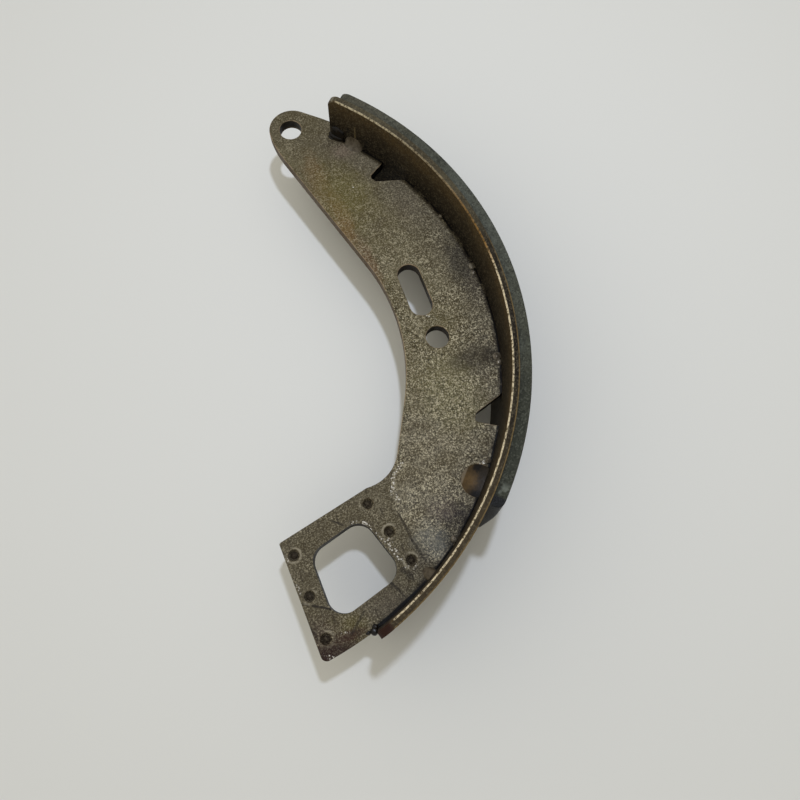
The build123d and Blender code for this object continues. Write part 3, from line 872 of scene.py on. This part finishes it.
drop_rows = [
    # angle, inset, radius, flatness
    (15.0, 0.0009, 0.00105, 1.0),
    (2.3, 0.0010, 0.0015, 0.45),
    (0.9, 0.0016, 0.0010, 0.4),
    (-17.4, 0.0014, 0.0017, 0.4),
    (-18.6, 0.0008, 0.0012, 0.5),
    (-38.0, 0.0012, 0.0012, 0.6),
    (-53.7, 0.0012, 0.0013, 0.6),
]
drop_metal = weld_material("drop_metal", shade(120, 112, 98), shade(78, 70, 58), 0.5, 0.25)


def drop_tree():
    """Lumpy balls on points, each as large and as flat as its point says."""
    tree = bpy.data.node_groups.new("weld_drops", "GeometryNodeTree")
    tree.interface.new_socket("Geometry", in_out="INPUT", socket_type="NodeSocketGeometry")
    tree.interface.new_socket("Lumpiness", in_out="INPUT", socket_type="NodeSocketFloat")
    tree.interface.new_socket("Metal", in_out="INPUT", socket_type="NodeSocketMaterial")
    tree.interface.new_socket("Geometry", in_out="OUTPUT", socket_type="NodeSocketGeometry")
    start = tree.nodes.new("NodeGroupInput")
    end = tree.nodes.new("NodeGroupOutput")
    ball = node(tree, "GeometryNodeMeshIcoSphere", {"Radius": 1.0, "Subdivisions": 4}).outputs["Mesh"]
    radius = node(tree, "GeometryNodeInputNamedAttribute", {"Name": "radius"}, data_type="FLOAT").outputs[0]
    flat = node(tree, "GeometryNodeInputNamedAttribute", {"Name": "flatness"}, data_type="FLOAT").outputs[0]
    tall = calculate(tree, "MULTIPLY", radius, flat)
    size = node(tree, "ShaderNodeCombineXYZ", {"X": radius, "Y": radius, "Z": tall}).outputs["Vector"]
    drops = node(tree, "GeometryNodeInstanceOnPoints",
                 {"Points": start.outputs["Geometry"], "Instance": ball, "Scale": size}).outputs["Instances"]
    joined = node(tree, "GeometryNodeRealizeInstances", {"Geometry": drops}).outputs["Geometry"]
    ripple = node(tree, "ShaderNodeTexNoise", {"Scale": 700.0, "Detail": 2.0}).outputs["Fac"]
    swing = calculate(tree, "SUBTRACT", ripple, 0.5)
    push = calculate(tree, "MULTIPLY", swing, start.outputs["Lumpiness"])
    normal = tree.nodes.new("GeometryNodeInputNormal").outputs["Normal"]
    offset = node(tree, "ShaderNodeVectorMath", {0: normal, "Scale": push}, operation="SCALE").outputs[0]
    moved = node(tree, "GeometryNodeSetPosition", {"Geometry": joined, "Offset": offset}).outputs["Geometry"]
    smooth = node(tree, "GeometryNodeSetShadeSmooth", {"Geometry": moved}).outputs["Geometry"]
    dressed = node(tree, "GeometryNodeSetMaterial", {"Geometry": smooth, "Material": start.outputs["Metal"]})
    tree.links.new(dressed.outputs["Geometry"], end.inputs["Geometry"])
    return tree


def grown(name, mesh, tree, values):
    """The plain mesh that a geometry tree makes from a seed mesh."""
    seed = bpy.data.objects.new(name + "_seed", mesh)
    bpy.context.scene.collection.objects.link(seed)
    modifier = seed.modifiers.new("grow", "NODES")
    modifier.node_group = tree
    for item in tree.interface.items_tree:
        if item.in_out == "INPUT" and item.name in values:
            modifier[item.identifier] = values[item.name]
    result = bpy.data.meshes.new_from_object(seed.evaluated_get(bpy.context.evaluated_depsgraph_get()))
    result.name = name
    bpy.data.objects.remove(seed)
    return result


drop_points = bpy.data.meshes.new("weld_drop_points")
drop_places = [
    ((rim_inner_radius - inset) * math.cos(math.radians(angle)),
     (rim_inner_radius - inset) * math.sin(math.radians(angle)), web_top + 0.3 * radius * flat)
    for angle, inset, radius, flat in drop_rows
]
drop_points.from_pydata(drop_places, [], [])
for label, column in (("radius", 2), ("flatness", 3)):
    values = drop_points.attributes.new(label, "FLOAT", "POINT").data
    for number, row in enumerate(drop_rows):
        values[number].value = row[column]
drops = grown("weld_drops_thrown", drop_points, drop_tree(), {"Lumpiness": 0.0007, "Metal": drop_metal})
set_piece("weld_drops_thrown", drops, drop_metal, "weld_metal", "weld_drops")


# Floor: a plain pale board under the shoe, painted matt.
# It lies a hair below the shoe's lowest edge, so that the two never share a face.

floor_mesh = bpy.data.meshes.new("floor")
half = 2.0
level = -0.00005
corners = [(-half, -half, level), (half, -half, level), (half, half, level), (-half, half, level)]
floor_mesh.from_pydata(corners, [], [(0, 1, 2, 3)])
floor = bpy.data.objects.new("floor", floor_mesh)
bpy.context.scene.collection.objects.link(floor)
floor_paint = bpy.data.materials.new("floor_paint")
floor_paint.use_nodes = True
floor_shader = floor_paint.node_tree.nodes["Principled BSDF"]
floor_shader.inputs["Base Color"].default_value = shade(214, 214, 212)
floor_shader.inputs["Roughness"].default_value = 0.6
floor_mesh.materials.append(floor_paint)


# Light: a small cool lamp high above the shoe, and a warmer surround, together near neutral.
# The surround is brightest low down on the open side of the shoe.
# The camera, and what glossy faces mirror, see a plain pale backdrop in place of it.

lamp = bpy.data.lights.new("lamp", "AREA")
lamp.shape = "DISK"
lamp.size = 0.04
lamp.energy = 1.92
lamp.color = (0.76, 0.84, 1.0)
lamp_stand = bpy.data.objects.new("lamp", lamp)
lamp_stand.matrix_world = Matrix.Translation((0.154, 0.082, 0.660))
bpy.context.scene.collection.objects.link(lamp_stand)

world = bpy.data.worlds.new("surround")
world.use_nodes = True
sky = world.node_tree
background = sky.nodes["Background"]
direction = sky.nodes.new("ShaderNodeTexCoord").outputs["Generated"]
open_side = (-0.94, 0.34, -0.35)
towards = node(sky, "ShaderNodeVectorMath", {0: direction, 1: open_side}, operation="DOT_PRODUCT")
background.inputs["Color"].default_value = (1.0, 0.96, 0.83, 1.0)
dimming = {"Value": towards.outputs["Value"], "From Min": -1.0, "To Min": 0.3, "To Max": 1.25}
feed(sky, background.inputs["Strength"], node(sky, "ShaderNodeMapRange", dimming).outputs["Result"])
backdrop = (0.68, 0.68, 0.67, 1.0)
seen = node(sky, "ShaderNodeBackground", {"Color": backdrop, "Strength": 1.0}).outputs["Background"]
rays = sky.nodes.new("ShaderNodeLightPath").outputs
mirrored = calculate(sky, "MAXIMUM", rays["Is Glossy Ray"], rays["Is Transmission Ray"])
sees_backdrop = calculate(sky, "MAXIMUM", rays["Is Camera Ray"], mirrored)
blend = node(sky, "ShaderNodeMixShader", {0: sees_backdrop, 1: background.outputs["Background"], 2: seen})
sky.links.new(blend.outputs["Shader"], sky.nodes["World Output"].inputs["Surface"])
bpy.context.scene.world = world
bpy.context.scene.view_settings.view_transform = "Standard"


# Camera: above the shoe, looking down and tipped a little towards its eye end.
# It stands 27 cm above the floor, about 17 degrees off the vertical.

camera_place = (0.037337, -0.104281, 0.270725)
camera_turn = math.radians(-20.0)
camera_pitch = 0.2886759
camera_roll = -0.0339001
focal_share = 658.117 / 800
camera = bpy.data.objects.new("camera", bpy.data.cameras.new("camera"))
camera.data.sensor_width = 36.0
camera.data.lens = 36.0 * focal_share
camera.data.clip_start = 0.01
camera.matrix_world = (
    Matrix.Translation(camera_place)
    @ Matrix.Rotation(camera_turn, 4, "Z")
    @ Matrix.Rotation(camera_pitch, 4, "X")
    @ Matrix.Rotation(camera_roll, 4, "Y")
)
bpy.context.scene.collection.objects.link(camera)
bpy.context.scene.camera = camera
